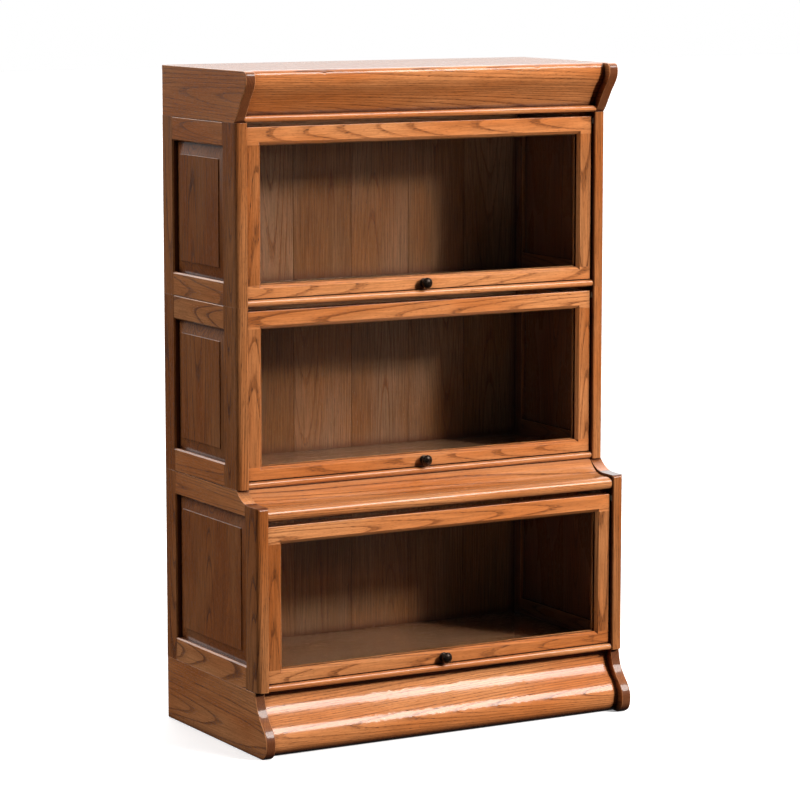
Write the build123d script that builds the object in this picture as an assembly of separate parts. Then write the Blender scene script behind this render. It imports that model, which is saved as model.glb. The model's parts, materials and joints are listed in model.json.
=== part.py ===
from build123d import *

import os

# Stacking barrister bookcase: a base, three glazed cases and a crown.
# Millimetres, +Z up, the front faces -Y, and the origin is on the floor under the middle.
# Depths are measured from the back plane towards the front and become Y in at_depth().

# Overall sizes.
case_width = 864
upper_depth = 333
ledge_projection = 82
base_height = 130
lower_height = 398
upper_height = 365.5
crown_height = 103

# Side frames of the cases.
side_thickness = 26
back_stile_width = 46
front_stile_width = 61
lower_front_stile_width = 54
side_top_rail_height = 49
side_bottom_rail_height = 48
stile_outer_round = 11
stile_inner_round = 4
frame_edge_bevel = 3
panel_tongue = 6
panel_groove_depth = 8
panel_groove_gap = 1
panel_bevel_width = 26
panel_shoulder = 2
panel_field_drop = 3.5

# Shelf, nosing and back of a case.
shelf_thickness = 14
shelf_housing = 8
nosing_depth = 22
nosing_setback = 3
back_rail_height = 45
back_rail_thickness = 18
back_inset = 2
back_board_thickness = 8
back_board_count = 6
back_board_edge_bevel = 1.2
back_rebate = 10

# Ledge on the lower case, in front of the middle case.
ledge_thickness = 26
ledge_front_setback = 4
ledge_step = 29.5
ledge_side_lip = 5
ledge_flat_depth = 38
ledge_cove_start = 8
ledge_seat_depth = 24
stile_top_round = 8

# Doors.
door_thickness = 19
door_setback = 10
door_side_gap = 1.5
door_bottom_gap = 1
door_top_gap = 9
door_stile_width = 33.5
door_top_rail_height = 36
door_bottom_rail_height = 27
door_edge_round = 2
door_bevel = 6
rebate_width = 7
glass_thickness = 3
glass_edge_gap = 1
glass_front_lip = 8
bead_width = 9
bead_back_gap = 1

# Door pivots, slide shoes and runners.
pivot_below_top = 9
pivot_radius = 3
pivot_seat = 14
pivot_clearance = 0.05
pivot_end_gap = 0.5
shoe_length = 24
shoe_gap = 0.3
runner_depth = 8
runner_height = 14
runner_wall = 1.5
runner_end_room = 2
stow_clearance = 3

# Door knobs.
knob_radius = 11.5
knob_projection = 22
knob_rose_radius = 9.5
knob_rose_thickness = 2.5
knob_neck_radius = 4.5
knob_neck_length = 4
knob_rose_slope = 1
knob_flare = 5
knob_crown_drop = 2
knob_crown_inset = 3
screw_radius = 2
screw_clearance = 0.1
screw_in_knob = 12
screw_head_radius = 4
screw_head_thickness = 2

# Crown and base.
board_thickness = 21
moulding_setback = 19
moulding_thickness = 22
crown_projection = 46
crown_foot_inset = 8
crown_top_setback = 15
crown_nose_drop = 19
crown_waist = (17, 52)
crown_hollow = (40, 17)
base_projection = 34
base_top_inset = 13
base_shoulder = (36, 91)
base_sweep = (18, 68)
base_nose_height = 34
base_foot_setback = 20
crown_top_board_thickness = 16
crown_bead_height = 14
crown_bead_depth = 24
crown_bead_setback = 3
plinth_rail_thickness = 20
corner_block = 30
corner_block_height = 90

# Locating dowels between the stacked units.
dowel_radius = 4
dowel_length = 30
dowel_clearance = 0.1
dowel_runner_gap = 3
dowel_back_depth = 25
dowel_front_inset = 33

# How far a cutting shape runs past the piece it cuts.
cut_margin = 1

# Places that follow from the sizes above.
lower_depth = upper_depth + ledge_projection
overall_depth = lower_depth + base_projection
half_width = case_width / 2
inner_x = half_width - side_thickness
board_inner_x = half_width - board_thickness
lower_bottom = base_height
middle_bottom = lower_bottom + lower_height
top_bottom = middle_bottom + upper_height
crown_bottom = top_bottom + upper_height
crown_top = crown_bottom + crown_height
back_front_depth = back_inset + back_rail_thickness
board_back_depth = back_inset + (back_rail_thickness - back_board_thickness) / 2
board_front_depth = board_back_depth + back_board_thickness
panel_recess = side_thickness - panel_tongue - runner_depth
panel_bevel_rise = panel_recess - panel_shoulder - panel_field_drop
ledge_cove_run = ledge_projection + ledge_cove_start - ledge_flat_depth
bead_depth = door_thickness - glass_front_lip - glass_thickness - bead_back_gap
dowel_front_depth = upper_depth - dowel_front_inset
dowel_side_inset = side_thickness - runner_depth - dowel_runner_gap - dowel_radius


class Case:
    """The levels and depths of one stacked case and of its door."""

    def __init__(self, name, bottom, height, depth, front_stile, headroom_drop):
        self.name = name
        self.bottom = bottom
        self.top = bottom + height
        self.depth = depth
        self.opening_front = depth - front_stile
        self.opening_bottom = bottom + side_bottom_rail_height
        self.opening_top = self.top - side_top_rail_height
        self.shelf_top = bottom + shelf_thickness
        self.door_face = depth - door_setback
        self.door_back = self.door_face - door_thickness
        self.door_bottom = self.shelf_top + door_bottom_gap
        self.door_top = self.top - headroom_drop - door_top_gap
        self.pivot_depth = self.door_face - door_thickness / 2
        self.pivot_z = self.door_top - pivot_below_top
        self.knob_z = self.door_bottom + door_bottom_rail_height / 2
        overhang_front = depth - (ledge_front_setback if headroom_drop else nosing_setback)
        knob_run = self.pivot_z - self.knob_z - knob_radius
        knob_room = knob_run - (overhang_front - self.pivot_depth)
        behind_pivot = max(pivot_below_top, door_thickness / 2,
                           shoe_length / 2 + runner_end_room)
        back_room = self.pivot_depth - behind_pivot - back_front_depth
        self.travel = min(knob_room, back_room) - stow_clearance


cases = [
    Case("lower", lower_bottom, lower_height, lower_depth, lower_front_stile_width,
         ledge_step + ledge_thickness),
    Case("middle", middle_bottom, upper_height, upper_depth, front_stile_width, 0),
    Case("top", top_bottom, upper_height, upper_depth, front_stile_width, 0),
]


def at_depth(depth):
    """Y of a point that lies this far in front of the back plane."""
    return overall_depth / 2 - depth


def block(x_low, x_high, depth_low, depth_high, z_low, z_high):
    """A box between two X, two depths from the back plane and two Z."""
    size = Box(x_high - x_low, depth_high - depth_low, z_high - z_low)
    middle_y = at_depth((depth_low + depth_high) / 2)
    return Pos((x_low + x_high) / 2, middle_y, (z_low + z_high) / 2) * size


def along_x(face, x_low, x_high):
    """A section drawn as (Y, Z), extruded between two X."""
    return Pos(x_low, 0, 0) * extrude(Plane.YZ * face, amount=x_high - x_low)


def cylinder_x(x_low, x_high, depth, z, radius):
    """A rod along X between two X."""
    rod = Cylinder(radius, x_high - x_low, rotation=(0, 90, 0))
    return Pos((x_low + x_high) / 2, at_depth(depth), z) * rod


def cylinder_y(depth_low, depth_high, x, z, radius):
    """A rod along Y between two depths."""
    rod = Cylinder(radius, depth_high - depth_low, rotation=(90, 0, 0))
    return Pos(x, at_depth((depth_low + depth_high) / 2), z) * rod


def pair(right_piece):
    """The right-hand piece and its mirror image on the left."""
    return [right_piece, mirror(right_piece, about=Plane.YZ)]


def save(name, pieces):
    """Write one node, as separate solids, to its own STEP file."""
    solids = [solid for piece in pieces for solid in piece.solids()]
    shape = solids[0] if len(solids) == 1 else Compound(children=solids)
    export_step(shape, f"parts/{name}.step")


# Dowels and their holes.

def dowel_rods(z, radius, length):
    """Four upright rods centred on a level between two stacked units."""
    rods = []
    for depth in (dowel_back_depth, dowel_front_depth):
        rod = Pos(half_width - dowel_side_inset, at_depth(depth), z) * Cylinder(radius, length)
        rods += pair(rod)
    return rods


joint_levels = [lower_bottom, middle_bottom, top_bottom, crown_bottom]
dowels = [rod for z in joint_levels for rod in dowel_rods(z, dowel_radius, dowel_length)]
hole_radius = dowel_radius + dowel_clearance
hole_length = dowel_length + 2 * dowel_clearance
dowel_holes = [rod for z in joint_levels for rod in dowel_rods(z, hole_radius, hole_length)]


# Side frames: stiles, rails and raised panels.

def opening_box(case, grow, x_low, x_high):
    """The opening in a side frame, grown on all four edges."""
    return block(x_low, x_high, back_stile_width - grow, case.opening_front + grow,
                 case.opening_bottom - grow, case.opening_top + grow)


def opening_face(case, shrink, x):
    """The outline of a side frame's opening, shrunk by a margin, at one X."""
    depth_size = case.opening_front - back_stile_width - 2 * shrink
    z_size = case.opening_top - case.opening_bottom - 2 * shrink
    centre_y = at_depth((case.opening_front + back_stile_width) / 2)
    centre_z = (case.opening_top + case.opening_bottom) / 2
    return Pos(x, centre_y, centre_z) * (Plane.YZ * Rectangle(depth_size, z_size))


def runner_box(case):
    """The housing of a door runner in the inner face of the right side."""
    front = case.pivot_depth + shoe_length / 2 + runner_end_room
    back = case.pivot_depth - case.travel - shoe_length / 2 - runner_end_room
    return block(inner_x, inner_x + runner_depth, back, front,
                 case.pivot_z - runner_height / 2, case.pivot_z + runner_height / 2)


def side_blank(case):
    """The whole right side before its opening is cut: rounded front, housings and holes."""
    blank = block(inner_x, half_width, 0, case.depth, case.bottom, case.top)
    front_edges = blank.edges().filter_by(Axis.Z).sort_by(Axis.Y)[0:2]
    inner_edge, outer_edge = front_edges.sort_by(Axis.X)
    blank = fillet(outer_edge, stile_outer_round)
    inner_edge = blank.edges().filter_by(Axis.Z).sort_by(Axis.X)[0:2].sort_by(Axis.Y)[0]
    blank = fillet(inner_edge, stile_inner_round)
    if case.name == "lower":
        blank = blank - along_x(ledge_cutaway(), inner_x, half_width)
    blank = blank - runner_box(case)
    blank = blank - block(inner_x, inner_x + shelf_housing, board_front_depth,
                          case.depth - nosing_setback - nosing_depth,
                          case.bottom, case.shelf_top)
    blank = blank - block(inner_x, inner_x + back_rebate, 0, back_front_depth,
                          case.bottom, case.top)
    for hole in dowel_holes:
        blank = blank - hole
    return blank


def ledge_cutaway():
    """What is cut from the top of the lower side, in front of the middle case."""
    seat_z = middle_bottom - ledge_step + ledge_side_lip
    cove_top = (at_depth(upper_depth - ledge_cove_start), middle_bottom)
    cove_foot = (cove_top[0] - ledge_cove_run, seat_z)
    front = at_depth(lower_depth)
    nose_top = (front + stile_top_round, seat_z)
    nose_front = (front, seat_z - stile_top_round)
    beyond = front - stile_top_round
    above = middle_bottom + stile_top_round
    outline = [
        cove_arc(cove_top, cove_foot),
        Line(cove_foot, nose_top),
        round_corner(nose_top, nose_front, stile_top_round),
        Polyline(nose_front, (beyond, nose_front[1]), (beyond, above),
                 (cove_top[0], above), cove_top),
    ]
    return make_face(outline)


def cove_arc(cove_top, cove_foot):
    """A hollow arc from its upper end down to its level foot, further forward."""
    run = cove_top[0] - cove_foot[0]
    rise = cove_top[1] - cove_foot[1]
    radius = (rise ** 2 + run ** 2) / (2 * rise)
    drop = (radius ** 2 - (run / 2) ** 2) ** 0.5
    half_way = (cove_foot[0] + run / 2, cove_foot[1] + radius - drop)
    return ThreePointArc(cove_top, half_way, cove_foot)


def round_corner(corner_top, corner_front, radius):
    """A convex quarter round from a level top to an upright front."""
    reach = radius * 0.5 ** 0.5
    half_way = (corner_top[0] - reach, corner_front[1] + reach)
    return ThreePointArc(corner_top, half_way, corner_front)


def side_frame(case):
    """The right side's front stile, back stile and pair of rails, as separate pieces."""
    frame = side_blank(case) - opening_box(case, 0, inner_x - cut_margin,
                                           half_width + cut_margin)
    tongue_outer = half_width - panel_recess
    frame = frame - opening_box(case, panel_groove_depth, tongue_outer - panel_tongue,
                                tongue_outer)
    sticking = extrude(opening_face(case, 0, half_width - frame_edge_bevel),
                       amount=frame_edge_bevel, taper=-45)
    frame = frame - sticking
    above = case.top + cut_margin
    below = case.bottom - cut_margin
    inside = inner_x - cut_margin
    outside = half_width + cut_margin
    front_zone = block(inside, outside, case.opening_front, case.depth + cut_margin,
                       below, above)
    back_zone = block(inside, outside, -cut_margin, back_stile_width, below, above)
    front_stile = frame & front_zone
    back_stile = frame & back_zone
    rails = frame - front_zone - back_zone
    return front_stile, back_stile, rails


def raised_panel(case):
    """A panel whose tongue sits in the frame's grooves, with a bevelled, raised field."""
    tongue_outer = half_width - panel_recess
    edge = panel_groove_depth - panel_groove_gap
    panel = opening_box(case, edge, tongue_outer - panel_tongue, tongue_outer)
    foot = opening_face(case, panel_groove_gap, tongue_outer)
    brow = opening_face(case, panel_bevel_width, tongue_outer + panel_bevel_rise)
    field = extrude(brow, amount=panel_shoulder)
    return panel + loft([foot, brow]) + field


# Shelves, nosings and backs.

def shelf(case):
    """The bottom board, housed in both sides, from the back boards to the nosing."""
    reach = inner_x + shelf_housing
    board = block(-reach, reach, board_front_depth, case.depth - nosing_setback - nosing_depth,
                  case.bottom, case.shelf_top)
    for hole in dowel_holes:
        board = board - hole
    notch = block(inner_x, reach, board_front_depth - cut_margin, back_front_depth,
                  case.bottom - cut_margin, case.shelf_top + cut_margin)
    for piece in pair(notch):
        board = board - piece
    return board


def nosing_section(front_depth, back_depth, z_low, z_high):
    """A board edge in section, rounded at the front by half its thickness."""
    radius = (z_high - z_low) / 2
    front = at_depth(front_depth)
    back = at_depth(back_depth)
    arc = ThreePointArc((front + radius, z_high), (front, z_low + radius),
                        (front + radius, z_low))
    rest = Polyline((front + radius, z_low), (back, z_low), (back, z_high),
                    (front + radius, z_high))
    return make_face([arc, rest])


def shelf_nosing(case):
    """The rounded strip on the front edge of the shelf, between the sides."""
    front = case.depth - nosing_setback
    section = nosing_section(front, front - nosing_depth, case.bottom, case.shelf_top)
    return along_x(section, -inner_x, inner_x)


def back_rail(case):
    """The rail across the top of the back, grooved below for the back boards."""
    reach = inner_x + back_rebate
    low = case.top - back_rail_height
    rail = block(-reach, reach, back_inset, back_front_depth, low, case.top)
    groove = block(-reach - cut_margin, reach + cut_margin, board_back_depth,
                   board_front_depth, low - cut_margin, low + back_rebate)
    return rail - groove


def back_boards(case):
    """Upright boards side by side, with bevelled edges towards the inside."""
    reach = inner_x + back_rebate
    width = 2 * reach / back_board_count
    boards = []
    for index in range(back_board_count):
        left = index * width - reach
        board = block(left, left + width, board_back_depth, board_front_depth,
                      case.bottom, case.top - back_rail_height + back_rebate)
        front_edges = board.edges().filter_by(Axis.Z).sort_by(Axis.Y)[0:2]
        boards.append(chamfer(front_edges, back_board_edge_bevel))
    return boards


def runner(case):
    """A steel channel let into the right side, open towards the inside."""
    channel = runner_box(case)
    lip = runner_height / 2 - runner_wall
    hollow = block(inner_x - cut_margin, inner_x + runner_depth - runner_wall, 0, case.depth,
                   case.pivot_z - lip, case.pivot_z + lip)
    return channel - hollow


# Doors.

def door_ring(case):
    """The whole door frame before it is parted into rails and stiles."""
    half_door = inner_x - door_side_gap
    half_sight = half_door - door_stile_width
    sight_low = case.door_bottom + door_bottom_rail_height
    sight_high = case.door_top - door_top_rail_height
    ring = block(-half_door, half_door, case.door_back, case.door_face,
                 case.door_bottom, case.door_top)
    front_edges = ring.faces().sort_by(Axis.Y)[0].edges()
    ring = fillet(front_edges, door_edge_round)
    behind = case.door_back - cut_margin
    before = case.door_face + cut_margin
    ring = ring - block(-half_sight, half_sight, behind, before, sight_low, sight_high)
    rebate = rebate_width
    ring = ring - block(-half_sight - rebate, half_sight + rebate, behind,
                        case.door_face - glass_front_lip, sight_low - rebate,
                        sight_high + rebate)
    bevel_back = Plane((0, at_depth(case.door_face - door_bevel), (sight_low + sight_high) / 2),
                       x_dir=(1, 0, 0), z_dir=(0, -1, 0))
    bevel_face = bevel_back * Rectangle(2 * half_sight, sight_high - sight_low)
    return ring - extrude(bevel_face, amount=door_bevel, taper=-45)


def door_frame(case):
    """The door's two stiles, and its two rails with holes for pivots and knob screw."""
    ring = door_ring(case)
    sight_low = case.door_bottom + door_bottom_rail_height
    sight_high = case.door_top - door_top_rail_height
    behind = case.door_back - cut_margin
    before = case.door_face + cut_margin
    middle = block(-half_width, half_width, behind, before, sight_low, sight_high)
    stiles = ring & middle
    rails = ring - middle
    half_door = inner_x - door_side_gap
    hole = cylinder_x(half_door - pivot_seat, half_door + cut_margin, case.pivot_depth,
                      case.pivot_z, pivot_radius)
    for piece in pair(hole):
        rails = rails - piece
    rails = rails - cylinder_y(behind, before, 0, case.knob_z, screw_radius + screw_clearance)
    rails = rails - cylinder_y(behind, case.door_back + screw_head_thickness, 0, case.knob_z,
                               screw_head_radius + screw_clearance)
    return stiles, rails


def glass_edge():
    """How far the pane reaches past the sight line, into the rebate."""
    return rebate_width - glass_edge_gap


def pane(case):
    """The glass, against the front lip of the rebate."""
    half_pane = inner_x - door_side_gap - door_stile_width + glass_edge()
    low = case.door_bottom + door_bottom_rail_height - glass_edge()
    high = case.door_top - door_top_rail_height + glass_edge()
    front = case.door_face - glass_front_lip
    return block(-half_pane, half_pane, front - glass_thickness, front, low, high)


def glazing_beads(case):
    """Four strips behind the glass that hold it in the rebate."""
    front = case.door_face - glass_front_lip - glass_thickness
    outer_x = inner_x - door_side_gap - door_stile_width + rebate_width
    outer_low = case.door_bottom + door_bottom_rail_height - rebate_width
    outer_high = case.door_top - door_top_rail_height + rebate_width
    low = outer_low + bead_width
    high = outer_high - bead_width
    back = front - bead_depth
    upright = block(outer_x - bead_width, outer_x, back, front, low, high)
    beads = pair(upright)
    beads.append(block(-outer_x, outer_x, back, front, outer_low, low))
    beads.append(block(-outer_x, outer_x, back, front, high, outer_high))
    return beads


def knob(case):
    """A turned knob on a rose, and the screw that holds it through the bottom rail."""
    neck_foot = (knob_neck_radius + knob_rose_slope, knob_rose_thickness + knob_rose_slope)
    waist = neck_foot[1] + knob_neck_length
    widest = waist + knob_flare
    rim = (knob_radius - knob_crown_inset, knob_projection - knob_crown_drop)
    outline = [
        Polyline((0, 0), (knob_rose_radius, 0),
                 (knob_rose_radius - knob_rose_slope, knob_rose_thickness), neck_foot),
        Spline(neck_foot, (knob_neck_radius, waist),
               (knob_radius, widest), rim, (0, knob_projection),
               tangents=[(-1, 1), (0, 1), (0, 1), (-1, 0.6), (-1, 0)]),
        Line((0, knob_projection), (0, 0)),
    ]
    turned = revolve(make_face(outline), Axis.Y)
    place = Pos(0, at_depth(case.door_face), case.knob_z) * Rot(0, 0, 180)
    head_depth = case.door_back + screw_head_thickness
    tip_depth = case.door_face + screw_in_knob
    bore = cylinder_y(case.door_face - cut_margin, tip_depth + screw_clearance, 0,
                      case.knob_z, screw_radius + screw_clearance)
    head = cylinder_y(case.door_back, head_depth, 0, case.knob_z, screw_head_radius)
    shank = cylinder_y(head_depth, tip_depth, 0, case.knob_z, screw_radius)
    return [place * turned - bore, head + shank]


def pivot_pins(case):
    """Steel pins in the ends of the top rail, which turn in the slide shoes."""
    half_door = inner_x - door_side_gap
    shoe_outer = inner_x + runner_depth - runner_wall - shoe_gap
    return pair(cylinder_x(half_door - pivot_seat, shoe_outer - pivot_end_gap,
                           case.pivot_depth, case.pivot_z, pivot_radius))


def slide_shoes(case):
    """Nylon shoes that slide in the runners and carry the pivot pins."""
    outer = inner_x + runner_depth - runner_wall - shoe_gap
    half_height = runner_height / 2 - runner_wall - shoe_gap
    half_length = shoe_length / 2
    shoe = block(inner_x + shoe_gap, outer, case.pivot_depth - half_length,
                 case.pivot_depth + half_length, case.pivot_z - half_height,
                 case.pivot_z + half_height)
    shoe = fillet(shoe.edges().filter_by(Axis.X), half_height / 2)
    bore = cylinder_x(inner_x - cut_margin, outer - pivot_end_gap / 2, case.pivot_depth,
                      case.pivot_z, pivot_radius + pivot_clearance)
    return pair(shoe - bore)


# Crown, ledge and base.

def crown_edge(setback):
    """The front edge of the crown in section, from its top to its foot."""
    front = at_depth(upper_depth + crown_projection - setback)
    top = (front + crown_top_setback, crown_top)
    nose = (front, crown_top - crown_nose_drop)
    waist = (front + crown_waist[0], crown_bottom + crown_waist[1])
    hollow = (front + crown_hollow[0], crown_bottom + crown_hollow[1])
    foot = (front + crown_projection + crown_foot_inset, crown_bottom)
    slopes = [(-1, 0), (0, -1), (0.78, -1), (0.57, -1), (1, -1)]
    return top, foot, Spline(top, nose, waist, hollow, foot, tangents=slopes)


def base_edge(setback):
    """The front edge of the base in section, from its top to its foot."""
    front = at_depth(lower_depth + base_projection - setback)
    top = (front + base_projection + base_top_inset, base_height)
    shoulder = (front + base_shoulder[0], base_shoulder[1])
    sweep = (front + base_sweep[0], base_sweep[1])
    nose = (front, base_nose_height)
    foot = (front + base_foot_setback, 0)
    slopes = [(-0.15, -1), (-0.6, -1), (-1, -1), (0, -1), (1, -0.3)]
    return top, foot, Spline(top, shoulder, sweep, nose, foot, tangents=slopes)


def shaped_board(edge, z_low, z_high):
    """A right-hand end board from the back plane to a shaped front edge."""
    top, foot, curve = edge
    back = at_depth(0)
    rest = Polyline(foot, (back, z_low), (back, z_high), top)
    board = along_x(make_face([curve, rest]), board_inner_x, half_width)
    for hole in dowel_holes:
        board = board - hole
    return board


def shaped_moulding(edge):
    """A moulding between the end boards, with the same front and a parallel back."""
    top, foot, curve = edge
    back_top = (top[0] + moulding_thickness, top[1])
    back_foot = (foot[0] + moulding_thickness, foot[1])
    back_curve = Pos(moulding_thickness, 0) * curve
    section = make_face([curve, Line(foot, back_foot), back_curve, Line(back_top, top)])
    return along_x(section, -board_inner_x, board_inner_x)


def crown_pieces():
    """Name and solids of each piece of the crown."""
    top_board_low = crown_top - crown_top_board_thickness
    bead_front = upper_depth - crown_bead_setback
    bead_top = crown_bottom + crown_bead_height
    moulding = shaped_moulding(crown_edge(moulding_setback))
    moulding = moulding - block(-half_width, half_width, 0, overall_depth,
                                crown_bottom - cut_margin, bead_top)
    top_board = block(-board_inner_x, board_inner_x, 0, upper_depth + crown_projection,
                      top_board_low, crown_top)
    top_board = top_board - along_x(make_face(behind_edge(crown_edge(moulding_setback))),
                                    -board_inner_x, board_inner_x)
    bead = along_x(nosing_section(bead_front, bead_front - crown_bead_depth, crown_bottom,
                                  bead_top), -board_inner_x, board_inner_x)
    rail = block(-board_inner_x, board_inner_x, back_inset, back_inset + plinth_rail_thickness,
                 crown_bottom, top_board_low)
    return {
        "crown_side_boards": pair(shaped_board(crown_edge(0), crown_bottom, crown_top)),
        "crown_front_moulding": [moulding],
        "crown_bead": [bead],
        "crown_top_board": [top_board],
        "crown_back_rail": [rail],
    }


def behind_edge(edge):
    """The region in front of a moulding's back face, for trimming a board to it."""
    top, foot, curve = edge
    back_curve = Pos(moulding_thickness, 0) * curve
    back_top = (top[0] + moulding_thickness, top[1])
    back_foot = (foot[0] + moulding_thickness, foot[1])
    beyond = at_depth(overall_depth)
    return [back_curve, Polyline(back_foot, (beyond, foot[1]), (beyond, top[1]), back_top)]


def ledge_board():
    """The board over the lower door, rounded in front, with a cove up to the middle case."""
    seat_z = middle_bottom - ledge_step
    low = seat_z - ledge_thickness
    cove_top = (at_depth(upper_depth - ledge_cove_start), middle_bottom)
    cove_foot = (cove_top[0] - ledge_cove_run, seat_z)
    front = at_depth(lower_depth - ledge_front_setback)
    radius = ledge_thickness / 2
    back = cove_top[0] + ledge_seat_depth
    outline = [
        cove_arc(cove_top, cove_foot),
        Line(cove_foot, (front + radius, seat_z)),
        ThreePointArc((front + radius, seat_z), (front, low + radius), (front + radius, low)),
        Polyline((front + radius, low), (back, low), (back, middle_bottom), cove_top),
    ]
    return along_x(make_face(outline), -inner_x, inner_x)


def base_pieces():
    """Name and solids of each piece of the base."""
    rail = block(-board_inner_x, board_inner_x, back_inset, back_inset + plinth_rail_thickness,
                 0, base_height)
    back_depth = back_inset + plinth_rail_thickness
    block_top = base_height
    block_low = base_height - corner_block_height
    outer = board_inner_x
    rear = block(outer - corner_block, outer, back_depth, back_depth + corner_block,
                 block_low, block_top)
    moulding = shaped_moulding(base_edge(moulding_setback))
    moulding_back = overall_depth / 2 - moulding.bounding_box().max.Y
    front = block(outer - corner_block, outer, moulding_back - corner_block, moulding_back,
                  block_low, block_top)
    return {
        "base_side_boards": pair(shaped_board(base_edge(0), 0, base_height)),
        "base_front_moulding": [moulding],
        "base_back_rail": [rail],
        "base_corner_blocks": pair(rear) + pair(front),
    }


def case_pieces(case):
    """Name and solids of each fixed piece of one case."""
    front_stile, back_stile, rails = side_frame(case)
    return {
        f"{case.name}_case_front_stiles": pair(front_stile),
        f"{case.name}_case_back_stiles": pair(back_stile),
        f"{case.name}_case_side_rails": pair(rails),
        f"{case.name}_case_side_panels": pair(raised_panel(case)),
        f"{case.name}_case_shelf": [shelf(case)],
        f"{case.name}_case_nosing": [shelf_nosing(case)],
        f"{case.name}_case_back_rail": [back_rail(case)],
        f"{case.name}_case_back_boards": back_boards(case),
        f"{case.name}_case_runners": pair(runner(case)),
    }


def door_pieces(case):
    """Name and solids of each moving piece of one door."""
    stiles, rails = door_frame(case)
    return {
        f"{case.name}_door_stiles": [stiles],
        f"{case.name}_door_rails": [rails],
        f"{case.name}_door_glass": [pane(case)],
        f"{case.name}_door_glazing_beads": glazing_beads(case),
        f"{case.name}_door_knob": knob(case),
        f"{case.name}_door_pivot_pins": pivot_pins(case),
        f"{case.name}_door_slide_shoes": slide_shoes(case),
    }


os.makedirs("parts", exist_ok=True)
nodes = {"lower_case_ledge": [ledge_board()], "stacking_dowels": dowels}
nodes.update(base_pieces())
nodes.update(crown_pieces())
for case in cases:
    nodes.update(case_pieces(case))
    nodes.update(door_pieces(case))
for name, pieces in nodes.items():
    save(name, pieces)
for case in cases:
    print(case.name, "door travel", round(case.travel, 2), "pivot depth", case.pivot_depth,
          "pivot z", case.pivot_z)
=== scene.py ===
"""Finishes the stacking bookcase: soft-edged oak, glass, turned knobs, small fixings, light and camera."""

import json
import math
import random

import bmesh
import bpy
import numpy as np
from bpy.props import FloatProperty, FloatVectorProperty, IntProperty, PointerProperty
from mathutils import Matrix, Vector

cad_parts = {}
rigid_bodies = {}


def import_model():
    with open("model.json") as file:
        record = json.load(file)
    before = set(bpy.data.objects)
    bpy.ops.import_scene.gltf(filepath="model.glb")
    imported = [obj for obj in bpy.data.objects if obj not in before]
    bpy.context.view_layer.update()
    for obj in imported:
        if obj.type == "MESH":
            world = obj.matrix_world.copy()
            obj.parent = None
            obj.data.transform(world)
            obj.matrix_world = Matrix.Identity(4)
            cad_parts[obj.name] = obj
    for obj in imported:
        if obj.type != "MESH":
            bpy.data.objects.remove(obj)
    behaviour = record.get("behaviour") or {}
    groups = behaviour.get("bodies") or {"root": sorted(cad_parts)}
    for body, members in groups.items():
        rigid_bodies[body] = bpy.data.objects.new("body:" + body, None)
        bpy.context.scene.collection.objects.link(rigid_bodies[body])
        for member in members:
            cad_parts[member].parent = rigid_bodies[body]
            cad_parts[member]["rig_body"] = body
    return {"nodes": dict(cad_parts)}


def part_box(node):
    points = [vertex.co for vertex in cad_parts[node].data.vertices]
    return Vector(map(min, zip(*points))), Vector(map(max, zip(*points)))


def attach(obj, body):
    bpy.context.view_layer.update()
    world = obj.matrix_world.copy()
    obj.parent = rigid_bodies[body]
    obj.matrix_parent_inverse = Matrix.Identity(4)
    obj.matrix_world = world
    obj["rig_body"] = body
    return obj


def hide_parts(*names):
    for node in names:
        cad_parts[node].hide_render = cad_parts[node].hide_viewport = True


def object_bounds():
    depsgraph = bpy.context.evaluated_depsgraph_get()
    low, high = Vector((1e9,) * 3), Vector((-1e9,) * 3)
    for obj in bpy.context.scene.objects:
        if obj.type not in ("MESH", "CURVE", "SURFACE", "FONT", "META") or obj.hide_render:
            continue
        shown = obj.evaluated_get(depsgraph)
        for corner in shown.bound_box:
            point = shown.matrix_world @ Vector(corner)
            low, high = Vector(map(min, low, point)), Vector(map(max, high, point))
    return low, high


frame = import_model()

bl_info = {
    "name": "Stacking bookcase finish",
    "version": (1, 0, 0),
    "blender": (4, 5, 0),
    "location": "3D View > Sidebar > Bookcase",
    "description": "Oak, glass, knobs and fixings for a stacking bookcase with lift-up doors",
    "category": "Object",
}

CASES = ("lower", "middle", "top")
CAD_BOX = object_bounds()
CENTRE = (CAD_BOX[0] + CAD_BOX[1]) / 2
UNIT_LINES = [(None, None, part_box(node)[0].z) for node in
              ("lower_case_shelf", "middle_case_shelf", "top_case_shelf", "crown_bead")]
SHARP_EDGE = math.radians(32)
FLAT_JOIN = math.radians(0.4)
ROUNDED = math.radians(50)
# How far the inner faces of the side frames are darkened, as painted shade inside the cases.
INSIDE_PAINTED_SHADE = 0.78


# Sizes and colours that a user would change.

def length(name, description, default):
    """A property in metres."""
    return FloatProperty(name=name, description=description, default=default, min=0.0,
                         precision=5, subtype="DISTANCE", unit="LENGTH")


def share(name, description, default):
    """A property between nothing and all."""
    return FloatProperty(name=name, description=description, default=default, min=0.0,
                         max=1.0, subtype="FACTOR")


def colour(name, description, default):
    """A colour property."""
    return FloatVectorProperty(name=name, description=description, default=default, size=3,
                               min=0.0, max=1.0, subtype="COLOR")


class JoinerySizes(bpy.types.PropertyGroup):
    """How softly the joinery's edges are worked, and the small fixings."""

    board_edge: length("Board edge", "Rounding of the edges of shelves, ends and mouldings",
                       0.0013)
    frame_edge: length("Frame edge", "Rounding where stiles and rails meet", 0.0004)
    unit_edge: length("Handled edge", "Rounding of the doors' and fronts' outer edges, and "
                      "where one stacked unit meets the next", 0.0025)
    back_gap: length("Back board gap", "Gap between neighbouring back boards", 0.0002)
    back_edge: length("Back board edge", "Rounding of the back boards' long edges", 0.001)
    pin_head: length("Pin head", "Radius of the back boards' pin heads", 0.0022)
    brad_head: length("Brad head", "Radius of the glazing beads' brad heads", 0.0009)
    brad_spacing: length("Brad spacing", "Distance between brads along a bead", 0.085)


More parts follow.
